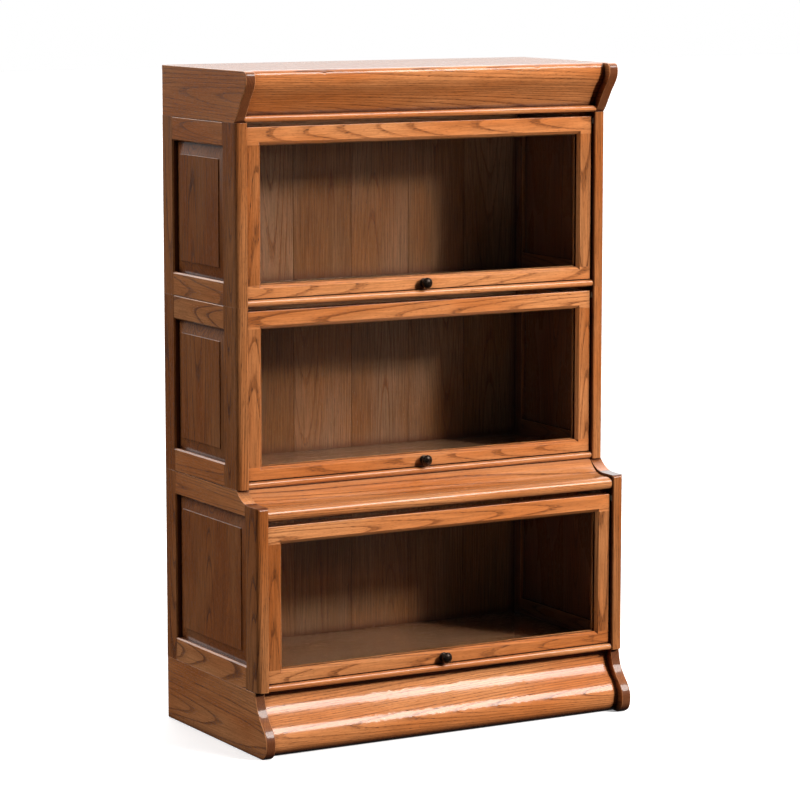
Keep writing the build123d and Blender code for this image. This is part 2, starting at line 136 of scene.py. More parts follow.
class OakFinish(bpy.types.PropertyGroup):
    """Stain, figure and lacquer of the oak, and the colours that paint shade into its corners and insides."""

    honey: colour("Honey stain", "Colour of the paler wood", (0.5, 0.212, 0.082))
    russet: colour("Russet stain", "Colour of the redder wood", (0.4, 0.12, 0.03))
    late: colour("Ring colour", "Colour of the rings' dark edge", (0.17, 0.05, 0.014))
    pore: colour("Pore colour", "Stain lying in open pores", (0.05, 0.015, 0.007))
    # The end-grain colour is also the painted shade in corners and on the inner faces of the side frames.
    cut_end: colour("End grain", "Stain soaked into cut ends", (0.045, 0.011, 0.007))
    # Inside the cases the stain is made browner and darker; the darkening is painted shade.
    inside: colour("Inside stain", "Share of the stain's colours kept inside the cases",
                   (0.5, 0.66, 1.0))
    ring: length("Ring spacing", "Width of one year's growth", 0.004)
    gloss: share("Roughness", "Roughness of the lacquered surface", 0.2)
    lacquer: share("Lacquer", "Strength of the clear coat", 0.65)


class FittingsFinish(bpy.types.PropertyGroup):
    """Metal, nylon and glass."""

    bronze: colour("Bronze", "Colour of the knobs", (0.045, 0.03, 0.022))
    steel: colour("Steel", "Colour of runners and pins", (0.5, 0.5, 0.51))
    nylon: colour("Nylon", "Colour of the slide shoes", (0.78, 0.76, 0.7))
    beech: colour("Beech", "Colour of the dowels", (0.55, 0.34, 0.17))
    pane: colour("Glass tint", "Tint of the panes", (0.57, 0.585, 0.57))


class StudioSetup(bpy.types.PropertyGroup):
    """Light, floor and camera."""

    key: FloatProperty(name="Key light", description="Strength of the high, wide light",
                       default=1.35, min=0.0)
    spill: FloatProperty(name="Low light", description="Strength of the low light that reaches "
                         "behind the glass", default=400.0, min=0.0)
    sky: FloatProperty(name="Surround", description="Brightness of the white surround",
                       default=2.15, min=0.0)
    floor: colour("Floor", "Colour of the studio floor", (0.94, 0.94, 0.94))
    lens: FloatProperty(name="Lens", description="Focal length of the camera",
                        default=150.0, min=10.0, unit="CAMERA")
    grain_seed: IntProperty(name="Grain seed", description="Chooses where boards are cut",
                            default=7)


GROUPS = {
    "case_joinery": JoinerySizes,
    "case_oak": OakFinish,
    "case_fittings": FittingsFinish,
    "case_studio": StudioSetup,
}


# Building node trees.

def put(tree, kind, inputs=None, **settings):
    """Add a node, give its settings, then set or link its inputs."""
    made = tree.nodes.new(kind)
    for key, value in settings.items():
        setattr(made, key, value)
    for key, value in (inputs or {}).items():
        if isinstance(value, bpy.types.NodeSocket):
            tree.links.new(value, made.inputs[key])
        else:
            made.inputs[key].default_value = value
    return made


def maths(tree, operation, first, second=0.0, clamp=False):
    """The result of a Math node."""
    return put(tree, "ShaderNodeMath", {0: first, 1: second}, operation=operation,
               use_clamp=clamp).outputs[0]


def stretched(tree, vector, scale):
    """A vector scaled by three factors."""
    return put(tree, "ShaderNodeVectorMath", {0: vector, 1: scale},
               operation="MULTIPLY").outputs[0]


def noise(tree, vector, scale, detail=2.0, roughness=0.5):
    """Noise stretched by three factors along, across and through a board."""
    return put(tree, "ShaderNodeTexNoise",
               {"Vector": stretched(tree, vector, scale), "Scale": 1.0, "Detail": detail,
                "Roughness": roughness}).outputs["Fac"]


def between(tree, value, low, high, start=0.0, end=1.0):
    """A value eased from one range to another."""
    return put(tree, "ShaderNodeMapRange",
               {"Value": value, "From Min": low, "From Max": high, "To Min": start,
                "To Max": end}, interpolation_type="SMOOTHSTEP").outputs[0]


def mixed(tree, share_of, first, second, mode="MIX"):
    """The colour of two colours mixed. The colour sockets are the Mix node's seventh and eighth."""
    made = tree.nodes.new("ShaderNodeMix")
    made.data_type = "RGBA"
    made.blend_type = mode
    for index, value in ((0, share_of), (6, first), (7, second)):
        if isinstance(value, bpy.types.NodeSocket):
            tree.links.new(value, made.inputs[index])
        elif index == 0:
            made.inputs[index].default_value = value
        else:
            made.inputs[index].default_value = (*value, 1.0)
    return made.outputs[2]


def curve_of(tree, value, stops):
    """A value read through a ramp of (position, grey) stops."""
    made = put(tree, "ShaderNodeValToRGB", {"Fac": value})
    ramp = made.color_ramp
    ramp.interpolation = "EASE"
    for index, (position, grey) in enumerate(stops):
        if index < 2:
            stop = ramp.elements[index]
            stop.position = position
        else:
            stop = ramp.elements.new(position)
        stop.color = (grey, grey, grey, 1.0)
    return made.outputs["Color"]


def surface(name, **values):
    """A material with one Principled shader and its fixed values."""
    made = bpy.data.materials.new(name)
    made.use_nodes = True
    tree = made.node_tree
    tree.nodes.clear()
    shader = put(tree, "ShaderNodeBsdfPrincipled")
    for key, value in values.items():
        shader.inputs[key.replace("_", " ")].default_value = value
    out = tree.nodes.new("ShaderNodeOutputMaterial")
    tree.links.new(shader.outputs[0], out.inputs["Surface"])
    return made, tree, shader


def raised(tree, shader, height, depth, strength=0.5):
    """Drive a shader's normal from a height."""
    bump = put(tree, "ShaderNodeBump", {"Height": height, "Distance": depth,
                                        "Strength": strength})
    tree.links.new(bump.outputs[0], shader.inputs["Normal"])


def attribute(tree, name, output):
    """An attribute of the mesh."""
    return put(tree, "ShaderNodeAttribute", attribute_name=name).outputs[output]


# Finishes.

def shaded_inner_oak(context):
    """The thinner, browner stain of shelves and backs, darkened as painted shade inside the cases."""
    return oak(context, "shaded_inner_oak", context.scene.case_oak.inside)


def oak(context, name="lacquered_oak", kept=(1.0, 1.0, 1.0)):
    """Stained, lacquered oak that follows each board's own grain."""
    finish = context.scene.case_oak
    honey, russet = [tuple(a * b for a, b in zip(stain, kept))
                     for stain in (finish.honey, finish.russet)]
    made, tree, shader = surface(name, Coat_Weight=finish.lacquer,
                                 Coat_Roughness=0.1, Coat_IOR=1.5, IOR=1.3)
    grain = attribute(tree, "grain", "Vector")
    board = attribute(tree, "board", "Fac")
    cut = attribute(tree, "cut", "Fac")
    arris = attribute(tree, "arris", "Fac")

    wander = noise(tree, grain, (2.2, 13.0, 13.0), 2.0)
    radius = put(tree, "ShaderNodeVectorMath", {0: stretched(tree, grain, (0.0, 1.0, 1.0))},
                 operation="LENGTH").outputs["Value"]
    radius = maths(tree, "ADD", radius, maths(tree, "MULTIPLY", wander, 0.009))
    rings = maths(tree, "DIVIDE", radius, finish.ring)
    uneven = put(tree, "ShaderNodeTexNoise", {"W": maths(tree, "MULTIPLY", rings, 0.31),
                                              "Scale": 1.0, "Detail": 1.0},
                 noise_dimensions="1D").outputs["Fac"]
    rings = maths(tree, "ADD", rings, maths(tree, "MULTIPLY", uneven, 2.2))
    year = maths(tree, "FRACT", rings)
    early = curve_of(tree, year, ((0.0, 1.0), (0.08, 0.8), (0.22, 0.2), (0.5, 0.0),
                                  (0.94, 0.06), (1.0, 1.0)))
    fade = between(tree, noise(tree, grain, (1.1, 22.0, 22.0), 2.0), 0.3, 0.7, 0.45, 1.0)

    pores = between(tree, noise(tree, grain, (75.0, 1500.0, 1500.0), 0.0), 0.54, 0.66)
    pores = maths(tree, "MULTIPLY", pores, between(tree, early, 0.05, 0.75, 0.12, 1.0))
    rays = between(tree, noise(tree, grain, (120.0, 760.0, 760.0), 0.0), 0.66, 0.76)
    fibre = noise(tree, grain, (9.0, 330.0, 330.0), 3.0, 0.6)
    mottle = between(tree, noise(tree, grain, (2.4, 11.0, 11.0), 3.0), 0.3, 0.72)

    tone = maths(tree, "ADD", maths(tree, "MULTIPLY", mottle, 0.8),
                 maths(tree, "MULTIPLY", board, 0.4), clamp=True)
    wood = mixed(tree, tone, honey, russet)
    ring_share = maths(tree, "MULTIPLY", maths(tree, "MULTIPLY", early, fade), 0.85)
    wood = mixed(tree, ring_share, wood, finish.late)
    wood = mixed(tree, maths(tree, "MULTIPLY", pores, 0.9), wood, finish.pore)
    wood = mixed(tree, maths(tree, "MULTIPLY", rays, 0.4), wood, finish.late)
    light = maths(tree, "ADD", between(tree, fibre, 0.25, 0.75, -0.22, 0.2),
                  between(tree, board, 0.0, 1.0, 1.2, 0.72))
    wood = put(tree, "ShaderNodeVectorMath", {0: wood, "Scale": light},
               operation="SCALE").outputs[0]
    # Cut ends take up more stain; the inner faces of the side frames are darkened the same way, as painted
    # shade.
    soaked = maths(tree, "MULTIPLY", between(tree, cut, 0.35, 0.95), 0.8)
    wood = mixed(tree, soaked, wood, finish.cut_end)
    # The rounded edges are lightened: partly wear where the stain is rubbed through, partly a painted highlight.
    rubbed = maths(tree, "MULTIPLY", arris,
                   between(tree, noise(tree, grain, (14.0, 40.0, 40.0), 2.0), 0.3, 0.7, 0.15,
                           0.7))
    wood = mixed(tree, rubbed, wood, tuple(1.35 * channel for channel in honey))
    # Painted shade: the wood is darkened towards the end-grain colour in corners, joints and grooves, wherever
    # the ambient occlusion finds nearby surfaces.
    painted_crevice_shade = put(tree, "ShaderNodeAmbientOcclusion", {"Distance": 0.026}, samples=6)
    shade = between(tree, painted_crevice_shade.outputs["AO"], 0.3, 0.96, 0.92, 0.0)
    wood = mixed(tree, shade, wood, finish.cut_end)
    tree.links.new(wood, shader.inputs["Base Color"])

    dull = maths(tree, "ADD", finish.gloss, maths(tree, "MULTIPLY", pores, 0.25))
    dull = maths(tree, "ADD", dull, maths(tree, "MULTIPLY", mottle, 0.06))
    dull = maths(tree, "ADD", dull, maths(tree, "MULTIPLY", soaked, 0.08))
    tree.links.new(dull, shader.inputs["Roughness"])
    height = maths(tree, "ADD", maths(tree, "MULTIPLY", pores, -1.0),
                   maths(tree, "MULTIPLY", early, -0.35))
    height = maths(tree, "ADD", height, maths(tree, "MULTIPLY", fibre, 0.25))
    raised(tree, shader, height, 0.0003, 0.35)
    return made


def glass(context):
    """Clear float glass, a little green."""
    tint = context.scene.case_fittings.pane
    made, tree, shader = surface("float_glass", Transmission_Weight=1.0, IOR=1.2,
                                 Base_Color=(*tint, 1.0))
    place = put(tree, "ShaderNodeTexCoord").outputs["Object"]
    smear = noise(tree, place, (4.0, 4.0, 9.0), 3.0)
    tree.links.new(between(tree, smear, 0.45, 0.8, 0.0, 0.035), shader.inputs["Roughness"])
    raised(tree, shader, noise(tree, place, (3.0, 3.0, 5.0), 0.0), 0.0006, 0.2)
    return made


def bronze(context):
    """Dark bronze, rubbed brighter in patches."""
    tint = context.scene.case_fittings.bronze
    made, tree, shader = surface("dark_bronze", Metallic=0.85, Coat_Weight=0.25,
                                 Coat_Roughness=0.2)
    place = put(tree, "ShaderNodeTexCoord").outputs["Object"]
    patch = noise(tree, place, (190.0, 190.0, 190.0), 4.0, 0.6)
    bright = tuple(min(1.0, 3.4 * channel) for channel in tint)
    coat = mixed(tree, between(tree, patch, 0.5, 0.75), tint, bright)
    tree.links.new(coat, shader.inputs["Base Color"])
    tree.links.new(between(tree, patch, 0.3, 0.8, 0.24, 0.42), shader.inputs["Roughness"])
    raised(tree, shader, noise(tree, place, (900.0, 900.0, 900.0), 2.0), 0.0001, 0.25)
    return made


def steel(context):
    """Zinc-plated steel, drawn lengthwise."""
    tint = context.scene.case_fittings.steel
    made, tree, shader = surface("plated_steel", Metallic=1.0)
    place = put(tree, "ShaderNodeTexCoord").outputs["Object"]
    drawn = noise(tree, place, (1400.0, 18.0, 1400.0), 2.0)
    bloom = noise(tree, place, (60.0, 25.0, 60.0), 3.0)
    dim = tuple(0.72 * channel for channel in tint)
    tree.links.new(mixed(tree, between(tree, bloom, 0.35, 0.7), tint, dim),
                   shader.inputs["Base Color"])
    tree.links.new(between(tree, drawn, 0.3, 0.7, 0.26, 0.46), shader.inputs["Roughness"])
    raised(tree, shader, drawn, 0.0001, 0.3)
    return made


def nylon(context):
    """Milky moulded nylon."""
    tint = context.scene.case_fittings.nylon
    made, tree, shader = surface("moulded_nylon", Subsurface_Weight=0.15,
                                 Subsurface_Scale=0.002)
    place = put(tree, "ShaderNodeTexCoord").outputs["Object"]
    cloud = noise(tree, place, (160.0, 160.0, 160.0), 3.0)
    dim = tuple(0.86 * channel for channel in tint)
    tree.links.new(mixed(tree, cloud, tint, dim), shader.inputs["Base Color"])
    tree.links.new(between(tree, cloud, 0.2, 0.8, 0.38, 0.55), shader.inputs["Roughness"])
    raised(tree, shader, noise(tree, place, (2200.0, 2200.0, 2200.0), 1.0), 0.00005, 0.3)
    return made


def beech(context):
    """Bare beech dowel rod, with its short flecks."""
    tint = context.scene.case_fittings.beech
    made, tree, shader = surface("bare_beech")
    place = put(tree, "ShaderNodeTexCoord").outputs["Object"]
    fleck = between(tree, noise(tree, place, (900.0, 900.0, 120.0), 1.0), 0.58, 0.7)
    fibre = noise(tree, place, (700.0, 700.0, 14.0), 3.0)
    dim = tuple(0.7 * channel for channel in tint)
    wood = mixed(tree, maths(tree, "MULTIPLY", fibre, 0.5), tint, dim)
    tree.links.new(mixed(tree, maths(tree, "MULTIPLY", fleck, 0.6), wood, dim),
                   shader.inputs["Base Color"])
    tree.links.new(between(tree, fibre, 0.2, 0.8, 0.55, 0.7), shader.inputs["Roughness"])
    raised(tree, shader, fibre, 0.0002, 0.3)
    return made


FINISHES = {"oak": oak, "shaded_inner_oak": shaded_inner_oak, "glass": glass, "bronze": bronze, "steel": steel, "nylon": nylon,
            "beech": beech}


def finish_of(context, slot):
    """The material of a slot, made the first time it is asked for."""
    key = f"finish_{slot}"
    known = context.scene.get(key)
    if known is None:
        known = FINISHES[slot](context)
        context.scene[key] = known
    return known


# Making pieces.

def body_of(node):
    """The body that a CAD node rides on."""
    return frame["nodes"][node]["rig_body"]


def islands(mesh):
    """The mesh's separate solids, as lists of vertex numbers."""
    neighbours = [[] for _ in mesh.vertices]
    for edge in mesh.edges:
        first, second = edge.vertices
        neighbours[first].append(second)
        neighbours[second].append(first)
    seen = set()
    found = []
    for start in range(len(neighbours)):
        if start in seen:
            continue
        seen.add(start)
        island = [start]
        for vertex in island:
            for other in neighbours[vertex]:
                if other not in seen:
                    seen.add(other)
                    island.append(other)
        found.append(island)
    return found


def map_grain(mesh, name, seed, upright=False):
    """Cut every board from its own place in a log: along the grain, across it and to the pith."""
    points = np.empty(len(mesh.vertices) * 3)
    mesh.vertices.foreach_get("co", points)
    points = points.reshape(-1, 3)
    grain = np.zeros_like(points)
    tone = np.zeros(len(points))
    along_of = np.zeros((len(points), 3))
    for index, island in enumerate(islands(mesh)):
        chance = random.Random(f"{name} {index} {seed}")
        own = points[island]
        low, high = own.min(0), own.max(0)
        size = high - low
        order = np.argsort(size)
        along = 2 if upright else int(order[2])
        thin, across = [int(axis) for axis in order if axis != along]
        middle = (low + high) / 2
        run = own[:, along] - middle[along]
        lean = chance.choice((-1, 1)) * chance.uniform(0.012, 0.04)
        drift = chance.uniform(-0.02, 0.02)
        pith = chance.choice((-1, 1)) * chance.uniform(0.03, 0.085)
        side = chance.uniform(-0.3, 0.3) * size[across]
        grain[island, 0] = run + chance.uniform(0.0, 5.0)
        grain[island, 1] = own[:, across] - middle[across] + side + drift * run
        grain[island, 2] = own[:, thin] - middle[thin] + pith + lean * run
        # Upright-grained boards are given a higher tone, which makes them redder and darker than level ones.
        tone[island] = chance.random() * 0.4 + (0.6 if along == 2 else 0.0)
        along_of[island, along] = 1.0
    mesh.attributes.new("grain", "FLOAT_VECTOR", "POINT").data.foreach_set(
        "vector", grain.ravel())
    first = np.array([face.vertices[0] for face in mesh.polygons])
    normals = np.array([face.normal[:] for face in mesh.polygons])
    cut = np.abs((normals * along_of[first]).sum(1))
    # Painted shade: faces turned into a case are darkened like cut ends.
    if "_case_" in name:
        inside = normals[:, 0] * points[first, 0] < -0.9 * np.abs(points[first, 0])
        cut[inside] = np.maximum(cut[inside], INSIDE_PAINTED_SHADE)
    mesh.attributes.new("board", "FLOAT", "FACE").data.foreach_set("value", tone[first])
    mesh.attributes.new("cut", "FLOAT", "FACE").data.foreach_set("value", cut)


def lies_on(edge, line):
    """Whether an edge keeps to a line's coordinates. None leaves a coordinate free."""
    return all(level is None or abs(vertex.co[axis] - level) < 0.0004
               for vertex in edge.verts for axis, level in enumerate(line))


def sharp_edges(work, lines=None):
    """Edges with a real corner, or only those that lie on given lines."""
    return [edge for edge in work.edges
            if edge.is_manifold and edge.calc_face_angle() > SHARP_EDGE
            and (lines is None or any(lies_on(edge, line) for line in lines))]


def soften(mesh, radius, handled, lines, solids=1):
    """Merge a copied mesh solid by solid and round its sharp edges. New faces are marked."""
    work = bmesh.new()
    work.from_mesh(mesh)
    work.faces.ensure_lookup_table()
    arris = work.faces.layers.float.new("arris")
    share_of = len(work.faces) // solids
    groups = [set() for _ in range(solids)]
    for index, face in enumerate(work.faces):
        groups[min(index // share_of, solids - 1)].update(face.verts)
    for group in groups:
        bmesh.ops.remove_doubles(work, verts=list(group), dist=0.000002)
    bmesh.ops.dissolve_limit(work, angle_limit=FLAT_JOIN, verts=work.verts, edges=work.edges)
    for chosen, reach, steps in ((lines, handled, 3), (None, radius, 2)):
        rounded = bmesh.ops.bevel(work, geom=sharp_edges(work, chosen), offset=reach,
                                  offset_type="OFFSET", segments=steps, profile=0.5,
                                  affect="EDGES", clamp_overlap=True)
        for face in rounded["faces"]:
            face[arris] = 1.0
    work.to_mesh(mesh)
    work.free()


def settle(context, name, mesh, slot, body, replaced=(), finish=None):
    """Put a finished mesh in the scene, on its body, standing for its CAD nodes."""
    piece = bpy.data.objects.new(name, mesh)
    context.scene.collection.objects.link(piece)
    mesh.materials.clear()
    mesh.materials.append(finish_of(context, finish or slot))
    mesh.shade_smooth()
    mesh.set_sharp_from_angle(angle=ROUNDED)
    piece.modifiers.new("even_shading", "WEIGHTED_NORMAL").keep_sharp = True
    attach(piece, body)
    if replaced:
        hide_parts(*replaced)
    return piece


def front_lines(node, ends=True, sides=True):
    """The lines of a node's front edges, along its ends and up its sides."""
    low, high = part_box(node)
    lines = [(None, low.y, low.z), (None, low.y, high.z)] if ends else []
    return lines + ([(low.x, low.y, None), (high.x, low.y, None)] if sides else [])


def oak_piece(context, node, radius, solids=1, upright=False, finish="oak", lines=()):
    """A soft-edged oak copy of a CAD node, with its own grain."""
    mesh = frame["nodes"][node].data.copy()
    mesh.name = f"{node}_oak"
    soften(mesh, radius, context.scene.case_joinery.unit_edge,
           [*UNIT_LINES, *lines], solids)
    map_grain(mesh, node, context.scene.case_studio.grain_seed, upright)
    return settle(context, f"{node}_oak", mesh, "oak", body_of(node), (node,), finish)


def carry_over(context, node, slot):
    """Give a CAD node that keeps its shape its real finish."""
    node_object = frame["nodes"][node]
    finish = finish_of(context, slot)
    for holder in node_object.material_slots:
        holder.material = finish
    return node_object


def turned(profile, sides, place, name):
    """A closed turned mesh: (radius, distance) points spun about -Y from a place."""
    work = bmesh.new()
    rings = []
    for radius, distance in profile:
        centre = Vector((place[0], place[1] - distance, place[2]))
        if radius == 0:
            rings.append([work.verts.new(centre)])
            continue
        turns = [2 * math.pi * step / sides for step in range(sides)]
        rings.append([work.verts.new(centre + Vector((radius * math.cos(turn), 0.0,
                                                      radius * math.sin(turn))))
                      for turn in turns])
    for lower, upper in zip(rings, rings[1:]):
        for step in range(sides):
            following = (step + 1) % sides
            ring = [lower[step % len(lower)], lower[following % len(lower)],
                    upper[following % len(upper)], upper[step % len(upper)]]
            corners = list(dict.fromkeys(ring))
            if len(corners) > 2:
                work.faces.new(corners)
    bmesh.ops.recalc_face_normals(work, faces=work.faces)
    mesh = bpy.data.meshes.new(name)
    work.to_mesh(mesh)
    work.free()
    return mesh


# Geometry node trees for what repeats.

def new_tree(name, sizes):
    """An empty geometry node tree with named inputs. Returns the tree and its input sockets."""
    tree = bpy.data.node_groups.new(name, "GeometryNodeTree")
    tree.is_modifier = True
    kinds = {float: "NodeSocketFloat", int: "NodeSocketInt", Vector: "NodeSocketVector"}
    for key, value in sizes.items():
        kind = kinds.get(type(value), "NodeSocketMaterial")
        tree.interface.new_socket(name=key, in_out="INPUT", socket_type=kind)
    tree.interface.new_socket(name="Geometry", in_out="OUTPUT",
                              socket_type="NodeSocketGeometry")
    return tree, tree.nodes.new("NodeGroupInput").outputs


def close_tree(tree, geometry, material):
    """End a tree in real geometry that holds its material."""
    solid = put(tree, "GeometryNodeRealizeInstances", {"Geometry": geometry})
    worn = put(tree, "GeometryNodeSetMaterial", {"Geometry": solid.outputs[0],
                                                 "Material": material})
    out = tree.nodes.new("NodeGroupOutput")
    tree.links.new(worn.outputs[0], out.inputs[0])


def grown(context, name, build, sizes):
    """The plain mesh that a tree makes from its named sizes."""
    tree = bpy.data.node_groups.get(build.__name__)
    if tree is None:
        tree = build(sizes)
    holder = bpy.data.objects.new(f"{name}_holder", bpy.data.meshes.new(f"{name}_seed"))
    context.scene.collection.objects.link(holder)
    modifier = holder.modifiers.new("grow", "NODES")
    modifier.node_group = tree
    for item in tree.interface.items_tree:
        if item.in_out == "INPUT":
            modifier[item.identifier] = sizes[item.name]
    context.view_layer.update()
    evaluated = holder.evaluated_get(context.evaluated_depsgraph_get())
    mesh = bpy.data.meshes.new_from_object(evaluated)
    mesh.name = name
    holder.modifiers.clear()
    bpy.data.objects.remove(holder)
    if len(mesh.polygons) == 0:
        raise RuntimeError(f"{name}: the tree {tree.name} made nothing")
    return mesh


def board_row(sizes):
    """Upright boards in a row, with rounded long edges and a gap between neighbours."""
    tree, given = new_tree("board_row", sizes)
    width = put(tree, "ShaderNodeMath", {0: given["Pitch"], 1: given["Gap"]},
                operation="SUBTRACT").outputs[0]
    section = put(tree, "GeometryNodeCurvePrimitiveQuadrilateral",
                  {"Width": width, "Height": given["Thickness"]})
    section = put(tree, "GeometryNodeFilletCurve",
                  {"Curve": section.outputs[0], "Radius": given["Edge"], "Count": 3},
                  mode="POLY")
    upright = put(tree, "ShaderNodeCombineXYZ", {"Z": given["Height"]})
    path = put(tree, "GeometryNodeCurvePrimitiveLine", {"End": upright.outputs[0]})
    board = put(tree, "GeometryNodeCurveToMesh",
                {"Curve": path.outputs[0], "Profile Curve": section.outputs[0],
                 "Fill Caps": True})
    step = put(tree, "ShaderNodeCombineXYZ", {"X": given["Pitch"]})
    row = put(tree, "GeometryNodeMeshLine",
              {"Count": given["Count"], "Start Location": given["First"],
               "Offset": step.outputs[0]})
    boards = put(tree, "GeometryNodeInstanceOnPoints",
                 {"Points": row.outputs[0], "Instance": board.outputs[0]})
    close_tree(tree, boards.outputs[0], given["Material"])
    return tree


def pin_rows(sizes):
    """Rows of low round pin heads on the back, each a little out of line."""
    tree, given = new_tree("pin_rows", sizes)
    head = put(tree, "GeometryNodeMeshCone",
               {"Vertices": 12, "Side Segments": 2, "Radius Top": given["Crown"],
                "Radius Bottom": given["Radius"], "Depth": given["Rise"]})
    facing = put(tree, "GeometryNodeTransform",
                 {"Geometry": head.outputs[0], "Rotation": (-math.pi / 2, 0.0, 0.0)})
    across = put(tree, "ShaderNodeCombineXYZ", {"X": given["Pitch"]})
    up = put(tree, "ShaderNodeCombineXYZ", {"Z": given["Row height"]})
    low_row = put(tree, "GeometryNodeMeshLine",
                  {"Count": given["Count"], "Start Location": given["First"],
                   "Offset": across.outputs[0]})
    high_row = put(tree, "GeometryNodeTransform",
                   {"Geometry": low_row.outputs[0], "Translation": up.outputs[0]})
    both = tree.nodes.new("GeometryNodeJoinGeometry")
    tree.links.new(low_row.outputs[0], both.inputs[0])
    tree.links.new(high_row.outputs[0], both.inputs[0])
    spread = put(tree, "FunctionNodeRandomValue", {"Seed": given["Seed"]},
                 data_type="FLOAT_VECTOR")
    spread.inputs[0].default_value = (-0.004, 0.0, -0.002)
    spread.inputs[1].default_value = (0.004, 0.0, 0.002)
    scattered = put(tree, "GeometryNodeSetPosition",
                    {"Geometry": both.outputs[0], "Offset": spread.outputs[0]})
    pins = put(tree, "GeometryNodeInstanceOnPoints",
               {"Points": scattered.outputs[0], "Instance": facing.outputs[0]})
    close_tree(tree, pins.outputs[0], given["Material"])
    return tree


def brad_ring(sizes):
    """Small brad heads at even steps round a glazing bead."""
    tree, given = new_tree("brad_ring", sizes)
    head = put(tree, "GeometryNodeMeshCone",
               {"Vertices": 8, "Side Segments": 1, "Radius Top": given["Crown"],
                "Radius Bottom": given["Radius"], "Depth": given["Rise"]})
    facing = put(tree, "GeometryNodeTransform",
                 {"Geometry": head.outputs[0], "Rotation": (-math.pi / 2, 0.0, 0.0)})
    ring = put(tree, "GeometryNodeCurvePrimitiveQuadrilateral",
               {"Width": given["Width"], "Height": given["Height"]})
    upright = put(tree, "GeometryNodeTransform",
                  {"Geometry": ring.outputs[0], "Translation": given["Centre"],
                   "Rotation": (math.pi / 2, 0.0, 0.0)})
    points = put(tree, "GeometryNodeCurveToPoints",
                 {"Curve": upright.outputs[0], "Length": given["Spacing"]}, mode="LENGTH")
    spread = put(tree, "FunctionNodeRandomValue", {"Seed": given["Seed"]},
                 data_type="FLOAT_VECTOR")
    spread.inputs[0].default_value = (-0.001, 0.0, -0.001)
    spread.inputs[1].default_value = (0.001, 0.0, 0.001)
    scattered = put(tree, "GeometryNodeSetPosition",
                    {"Geometry": points.outputs[0], "Offset": spread.outputs[0]})
    brads = put(tree, "GeometryNodeInstanceOnPoints",
                {"Points": scattered.outputs[0], "Instance": facing.outputs[0]})
    close_tree(tree, brads.outputs[0], given["Material"])
    return tree


# Operators, one for each group of like pieces.

class BOOKCASE_OT_base(bpy.types.Operator):
    """Finish the base: ends, moulding, back rail and corner blocks."""
    bl_idname = "bookcase.base"
    bl_label = "Base"

    def execute(self, context):
        edge = context.scene.case_joinery.board_edge
        for node in ("base_side_boards", "base_front_moulding", "base_back_rail"):
            oak_piece(context, node, edge)
        oak_piece(context, "base_corner_blocks", edge, upright=True)
        return {"FINISHED"}


class BOOKCASE_OT_crown(bpy.types.Operator):
    """Finish the crown: ends, moulding, bead, top board and back rail."""
    bl_idname = "bookcase.crown"
    bl_label = "Crown"

    def execute(self, context):
        edge = context.scene.case_joinery.board_edge
        for node in ("crown_side_boards", "crown_front_moulding", "crown_bead",
                     "crown_top_board", "crown_back_rail"):
            oak_piece(context, node, edge)
        return {"FINISHED"}


class BOOKCASE_OT_side_frames(bpy.types.Operator):
    """Finish the side frames: stiles, rails and raised panels."""
    bl_idname = "bookcase.side_frames"
    bl_label = "Side frames"

    def execute(self, context):
        edge = context.scene.case_joinery.frame_edge
        for case in CASES:
            front = f"{case}_case_front_stiles"
            oak_piece(context, front, edge, lines=front_lines(front, ends=False))
            for part in ("back_stiles", "side_rails"):
                oak_piece(context, f"{case}_case_{part}", edge)
            oak_piece(context, f"{case}_case_side_panels", edge, upright=True)
        return {"FINISHED"}


class BOOKCASE_OT_shelves(bpy.types.Operator):
    """Finish the shelves, their nosings, the back rails and the ledge."""
    bl_idname = "bookcase.shelves"
    bl_label = "Shelves and ledge"

    def execute(self, context):
        edge = context.scene.case_joinery.board_edge
        for case in CASES:
            oak_piece(context, f"{case}_case_nosing", edge)
            for part in ("shelf", "back_rail"):
                oak_piece(context, f"{case}_case_{part}", edge, finish="shaded_inner_oak")
        oak_piece(context, "lower_case_ledge", edge)
        return {"FINISHED"}


class BOOKCASE_OT_backs(bpy.types.Operator):
    """Lay the upright back boards and pin them to the rail and the shelf."""
    bl_idname = "bookcase.backs"
    bl_label = "Back boards"

    boards: IntProperty(name="Boards", description="Back boards in each case", default=6,
                        min=1)

    def execute(self, context):
        sizes = context.scene.case_joinery
        seed = context.scene.case_studio.grain_seed
        for number, case in enumerate(CASES):
            node = f"{case}_case_back_boards"
            low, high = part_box(node)
            pitch = (high.x - low.x) / self.boards
            depth = (low.y + high.y) / 2
            mesh = grown(context, f"{node}_oak", board_row, {
                "Count": self.boards, "Pitch": pitch, "Gap": sizes.back_gap,
                "Edge": sizes.back_edge, "Thickness": high.y - low.y,
                "Height": high.z - low.z,
                "First": Vector((low.x + pitch / 2, depth, low.z)),
                "Material": finish_of(context, "shaded_inner_oak")})
            map_grain(mesh, node, seed, upright=True)
            settle(context, f"{node}_oak", mesh, "oak", "cabinet", (node,), "shaded_inner_oak")
            rail_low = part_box(f"{case}_case_back_rail")[0].z
            shelf_low, shelf_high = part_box(f"{case}_case_shelf")
            first = Vector((low.x + pitch / 4, high.y, (shelf_low.z + shelf_high.z) / 2))
            pins = grown(context, f"{case}_case_back_pins", pin_rows, {
                "Count": 2 * self.boards, "Pitch": pitch / 2, "First": first,
                "Row height": rail_low - first.z - 0.008, "Radius": sizes.pin_head,
                "Crown": 0.6 * sizes.pin_head, "Rise": 0.0008, "Seed": number,
                "Material": finish_of(context, "steel")})
            settle(context, f"{case}_case_back_pins", pins, "steel", "cabinet")
        return {"FINISHED"}


